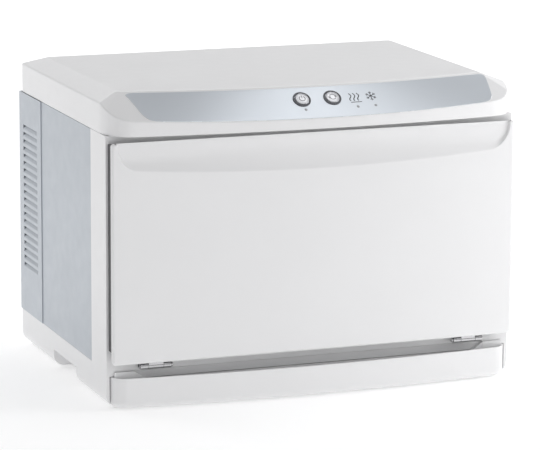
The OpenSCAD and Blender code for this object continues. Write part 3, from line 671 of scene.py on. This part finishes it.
def build_door():
    edge_r, corner_r, top_r = 3.0, 5.0, 3.0
    insets = [0.0, 0.25, 0.7, 1.3, 2.1, edge_r]
    near = 4.0      # the plain face gets closer points within this distance of the rim
    n = len(RIM)
    first = next(i for i in range(n) if RIM[i][0] >= CORNER_FROM)
    last = n - 1 - first
    turn_pts, top_pts = 7, 5

    def tuck(e):
        """How far the rounded edge has gone back at e millimetres in from the outline."""
        e = max(0.0, min(edge_r, e))
        return edge_r - math.sqrt(max(0.0, edge_r * edge_r - (edge_r - e) ** 2))

    def outer(i, inset):
        """Point on the door's outline, moved in by inset, that belongs to rim point i."""
        x = RIM[i][0]
        hw, z0 = DX - inset, DZ0 + inset
        c = max(0.4, corner_r - inset)
        if abs(x) < CORNER_FROM:
            return (hw - c) * x / CORNER_FROM, z0
        j = (i if x > 0 else n - 1 - i) - first
        if j < turn_pts:
            a = math.pi / 2 * j / (turn_pts - 1)
            px, pz = hw - c + c * math.sin(a), z0 + c * (1 - math.cos(a))
        elif j <= last - top_pts:
            q = (j - turn_pts + 1) / (last - top_pts - turn_pts + 1)
            px, pz = hw, z0 + c + (DZ1 - top_r - z0 - c) * q
        else:
            a = math.pi / 2 * (j - last + top_pts) / top_pts
            px, pz = hw - top_r + top_r * math.cos(a), DZ1 - top_r + top_r * math.sin(a)
        return (px if x >= 0 else -px), min(pz, DZ1)

    rows = []
    for i, (x, z, tx) in enumerate(RIM):
        drop = max(0.02, DZ1 - z)
        ox, oz = outer(i, edge_r)
        span = math.hypot(ox - x, oz - z)
        close = span <= 4.5

        def in_scoop(q, e=None):
            """Point a share q of the way from the top edge down to the rim."""
            px, pz = tx + (x - tx) * q, DZ1 + (z - DZ1) * q
            y = door_front(px, pz, True) + tuck(DZ1 - pz if e is None else e) * min(1.0, drop / edge_r)
            return Vector((px, min(y, DEEPEST), pz))

        def on_face(q):
            """Point a share q of the way from the rim out to the rounded edge."""
            px, pz = x + (ox - x) * q, z + (oz - z) * q
            return Vector((px, door_front(px, pz, False) + tuck(DZ1 - pz), pz))

        # back edge, down the scoop, over the rim, out to the outline and round it to the back
        col = [Vector((tx, DOOR_BACK, DZ1))]
        col += [in_scoop(min(0.96, e / drop), e) for e in insets[:-1]]
        q0 = min(0.97, edge_r / drop)
        col += [in_scoop(q0 + (1 - q0) * f)
                for f in (0.0, 0.2, 0.4, 0.58, 0.72, 0.82, 0.89, 0.94, 0.975, 0.993, 1.0)]
        col += [on_face(f / near * 0.9 if close else min(f / span, 0.9)) for f in (0.35, 0.8, 1.6, near)]
        col += [on_face(0.9 if close else max(near / span, q)) for q in (0.12, 0.35, 0.7)]
        col.append(on_face(1.0))
        for e in insets[-2::-1]:
            px, pz = outer(i, e)
            base = DY + DOOR_BOW * k2(min(abs(px), DX))
            col.append(Vector((px, min(DEEPEST, base + max(tuck(e), tuck(DZ1 - pz))), pz)))
        px, pz = outer(i, 0)
        col.append(Vector((px, DOOR_BACK, pz)))
        rows.append([at(*v) for v in col])
    k = len(rows[0])
    verts = [v for row in rows for v in row]
    # each column joins its last point to its first, which closes the flat back in upright strips
    faces = grid(rows, closed_u=True)
    faces += [tuple(range(k))[::-1], tuple(range((n - 1) * k, n * k))]
    piece("door_panel", verts, faces, "white_moulding", body="door", replaces=("door_skin",), sharp=60)


build_door()


# ---------------------------------------------------------------- tray and its bay

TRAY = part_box("drip_tray")
TX = TRAY[1].x * 1000
TRAY_BACK = (TRAY[1].y - FRONT) * 1000
TRAY_Y = (TRAY[0].y - FRONT) * 1000
TRAY_LOW, RIM_Z = TRAY[0].z * 1000, 34.2
TRAY_R = 17         # rounding of the front corners in plan
TRAY_BOW = 9.8
TRAY_END = 5.4      # depth at which the wall's two ends stop


def tray_bow(x):
    """Depth of the bowed front at x, and its slope there."""
    return TRAY_Y + TRAY_BOW * k2(x), 2 * TRAY_BOW * x / BOW_HALF ** 2


def tray_outline():
    """Plan of the tray's outside from its right rear end, round the bowed front, to its left rear end,
    each point with its outward normal."""
    cx = TX - TRAY_R
    edge, rise = tray_bow(cx)
    lean = math.atan(rise)
    cy = edge + TRAY_R * math.cos(lean)
    half = [(TX, TRAY_END, 1.0, 0.0)]
    for i in range(13):
        a = -i / 12 * (math.pi / 2 - lean)
        c, s = math.cos(a), math.sin(a)
        half.append((cx + TRAY_R * c, cy + TRAY_R * s, c, s))
    x_on, y_on = half[-1][:2]
    y_shift = y_on - tray_bow(x_on)[0]
    for i in range(1, 21):
        x = x_on * (1 - i / 20)
        y, rise = tray_bow(x)
        n = math.hypot(1, rise)
        half.append((x, y + y_shift * (x / x_on) ** 2, rise / n, -1 / n))
    return half + [(-x, y, -nx, ny) for x, y, nx, ny in half[-2::-1]]


def prism(name, body, outline, x0, x1):
    """Closed bar along x with the outline given as (y, z)."""
    m = len(outline)
    verts = [at(x, y, z) for x in (x0, x1) for y, z in outline]
    faces = [tuple(range(m)), tuple(range(m, 2 * m))[::-1]]
    faces += [(i, m + i, m + (i + 1) % m, (i + 1) % m) for i in range(m)]
    piece(name, verts, faces, "white_moulding", body=body, sharp=25, bevel=0.0004)


def build_tray():
    # section of the wall as (distance in from the outline, height): outside, rim, inside
    section = [(d, TRAY_LOW + h) for d, h in ((9, 0), (6.2, 0), (3.9, 0.6), (2.0, 1.7), (0.8, 3.2),
                                              (0.2, 4.9), (0, 6.8))]
    section += [(d, RIM_Z - h) for d, h in ((0, 0.7), (0.2, 0.2), (0.7, 0), (1.5, 0), (2.0, 0.2),
                                            (2.2, 0.7))]
    section += [(2.8, 9.5), (4.2, 7.2), (7, 6.2), (9, 6.2)]
    rows = [[at(x - nx * d, y - ny * d, z) for d, z in section] for x, y, nx, ny in tray_outline()]
    n, k = len(rows), len(section)
    verts = [v for r in rows for v in r]
    faces = grid(rows)
    # underside and floor
    faces += strips_across(n, k, 0, False)
    faces += [f[::-1] for f in strips_across(n, k, k - 1, False)]
    # the rear end: both ends of the wall and the cut edge of the floor, as one outline
    right, left = list(range(k)), list(range((n - 1) * k, n * k))
    faces.append(right + left[::-1])
    piece("tray_pan", verts, faces, "white_moulding", body="tray", replaces=("drip_tray",), sharp=45)
    prism("tray_back_wall", "tray", [(2.4, 4.5), (TRAY_BACK, 4.5), (TRAY_BACK, 29.6), (2.4, 29.6)], -181, 181)


def build_bay():
    """What the tray slides out from under: a strip at the back, and a block with a gusset at each end."""
    strip = [(2.2, 30.2), (TRAY_BACK, 30.2), (TRAY_BACK, 39.1), (3.0, 39.1), (2.2, 38.2)]
    block = [(-3.2, 7.4), (TRAY_BACK, 7.4), (TRAY_BACK, 34.2), (-0.5, 34.2), (-0.5, 39.3), (-3.2, 39.3)]
    prism("bay_back_strip", "cabinet", strip, -194.4, 194.4)
    for side, tag in ((1, "right"), (-1, "left")):
        x0, x1 = sorted((side * 195.2, side * 217.3))
        prism(f"bay_block_{tag}", "cabinet", block, x0, x1)
        a, b = side * 195.4, side * 181.8
        verts = [at(x, y, z) for y in (-3.0, 2.6) for x, z in ((a, 7.6), (a, 38.9), (b, 29.5), (b, 7.6))]
        faces = [(0, 1, 2, 3), (7, 6, 5, 4), (0, 4, 5, 1), (1, 5, 6, 2), (2, 6, 7, 3), (3, 7, 4, 0)]
        piece(f"bay_gusset_{tag}", verts, faces, "white_moulding", sharp=25, bevel=0.0003)


build_tray()
build_bay()


# ---------------------------------------------------------------- edges of the plain nodes

# width of the rounding in metres, its segments, and the nodes that get it
EDGES = [
    (0.0008, 3, ("front_frame", "base_pan")),
    (0.0002, 2, ("side_panel_left", "side_panel_right", "rear_cover", "inner_chamber", "heat_sink",
                 "cold_block", "hinge_leaf_left", "hinge_leaf_right", "hinge_bracket_left",
                 "hinge_bracket_right", "strike_plates", "control_board", "tact_switches", "power_supply",
                 "heater_sheet", "peltier_module", "door_magnets", "thermal_cutout")),
    (0.0006, 3, ("door_liner", "door_gasket", "door_back_frame", "foam_jacket", "door_foam", "fan_frame",
                 "rubber_feet", "cord_bushing")),
    (0.00015, 2, ("fan_rotor", "fan_screws", "rear_cover_screws", "hinge_bracket_screws",
                  "hinge_leaf_screws", "standoffs", "hinge_pin_left", "hinge_pin_right")),
]
for width, segments, nodes in EDGES:
    for node in nodes:
        soften(node, width, segments)


# ---------------------------------------------------------------- stage, light and camera

def stage_plane():
    half = 9.0
    me = bpy.data.meshes.new("floor")
    me.from_pydata([(-half, -half, 0), (half, -half, 0), (half, half, 0), (-half, half, 0)], [],
                   [(0, 1, 2, 3)])
    o = bpy.data.objects.new("floor", me)
    bpy.context.scene.collection.objects.link(o)
    m = bpy.data.materials.new("floor_white")
    m.use_nodes = True
    b = m.node_tree.nodes["Principled BSDF"]
    b.inputs["Base Color"].default_value = (0.94, 0.94, 0.94, 1)
    b.inputs["Roughness"].default_value = 0.9
    b.inputs["Specular IOR Level"].default_value = 0.1
    b.inputs["Emission Color"].default_value = (1, 1, 1, 1)
    b.inputs["Emission Strength"].default_value = 0.29
    me.materials.append(m)
    o.location.z = -0.0002


def sky():
    """Even studio light from all round, a little stronger from above."""
    world = bpy.data.worlds.new("studio")
    bpy.context.scene.world = world
    world.use_nodes = True
    nodes, links = world.node_tree.nodes, world.node_tree.links
    background = nodes["Background"]
    direction = nodes.new("ShaderNodeTexCoord")
    axes = nodes.new("ShaderNodeSeparateXYZ")
    ramp = nodes.new("ShaderNodeValToRGB")
    for element, grey in zip(ramp.color_ramp.elements, (0.95, 1.0)):
        element.color = (grey, grey, grey * 1.01, 1)
    links.new(direction.outputs["Generated"], axes.inputs["Vector"])
    links.new(axes.outputs["Z"], ramp.inputs["Fac"])
    links.new(ramp.outputs["Color"], background.inputs["Color"])
    background.inputs["Strength"].default_value = 0.53


def area(name, loc, target, size, power):
    d = bpy.data.lights.new(name, "AREA")
    d.shape = "RECTANGLE"
    d.size, d.size_y = size
    d.energy = power
    o = bpy.data.objects.new(name, d)
    bpy.context.scene.collection.objects.link(o)
    o.location = loc
    o.rotation_mode = "QUATERNION"
    o.rotation_quaternion = (Vector(target) - Vector(loc)).to_track_quat("-Z", "Y")


stage_plane()
sky()
area("key", (0.8, -0.6, 0.42), (0.1, -0.15, 0.15), (0.4, 0.4), 1.9)
area("key_side", (0.62, -0.42, 0.34), (0.0, -0.15, 0.15), (0.3, 0.4), 0.42)
area("kicker", (-0.9, 0.8, 0.7), (-0.2, 0, 0.25), (0.5, 0.5), 2.4)
area("overhead", (0.38, -0.24, 1.4), (-0.02, -0.15, 0.3), (0.42, 0.34), 1.15)
area("top_side", (1.0, 0.1, 0.75), (0.1, 0.0, 0.32), (0.4, 0.4), 1.5)
area("low_front", (-0.3, -1.4, 0.14), (0, -0.15, 0.06), (0.9, 0.2), 0.6)
area("backdrop", (1.0, 3.2, 2.2), (1.0, 3.2, 0), (3.0, 3.0), 48.0)

# the camera's angles in radians and its place in metres
YAW, PITCH, ROLL = 0.35915645, 0.20201373, 0.00539561
EYE = Vector((-1.17671, FRONT - 3.009, 0.84023))


def camera():
    forward = Vector((math.sin(YAW) * math.cos(PITCH), math.cos(YAW) * math.cos(PITCH), -math.sin(PITCH)))
    level = Vector((math.cos(YAW), -math.sin(YAW), 0))
    upright = level.cross(forward)
    x_axis = level * math.cos(ROLL) + upright * math.sin(ROLL)
    y_axis = upright * math.cos(ROLL) - level * math.sin(ROLL)
    data = bpy.data.cameras.new("camera")
    data.sensor_width = 36
    data.lens = 211.287
    data.dof.use_dof = False
    data.clip_end = 50
    o = bpy.data.objects.new("camera", data)
    bpy.context.scene.collection.objects.link(o)
    turn = Matrix((x_axis, y_axis, -forward)).transposed()
    o.matrix_world = Matrix.Translation(EYE) @ turn.to_4x4()
    bpy.context.scene.camera = o


camera()
bpy.context.scene.view_settings.view_transform = "Standard"
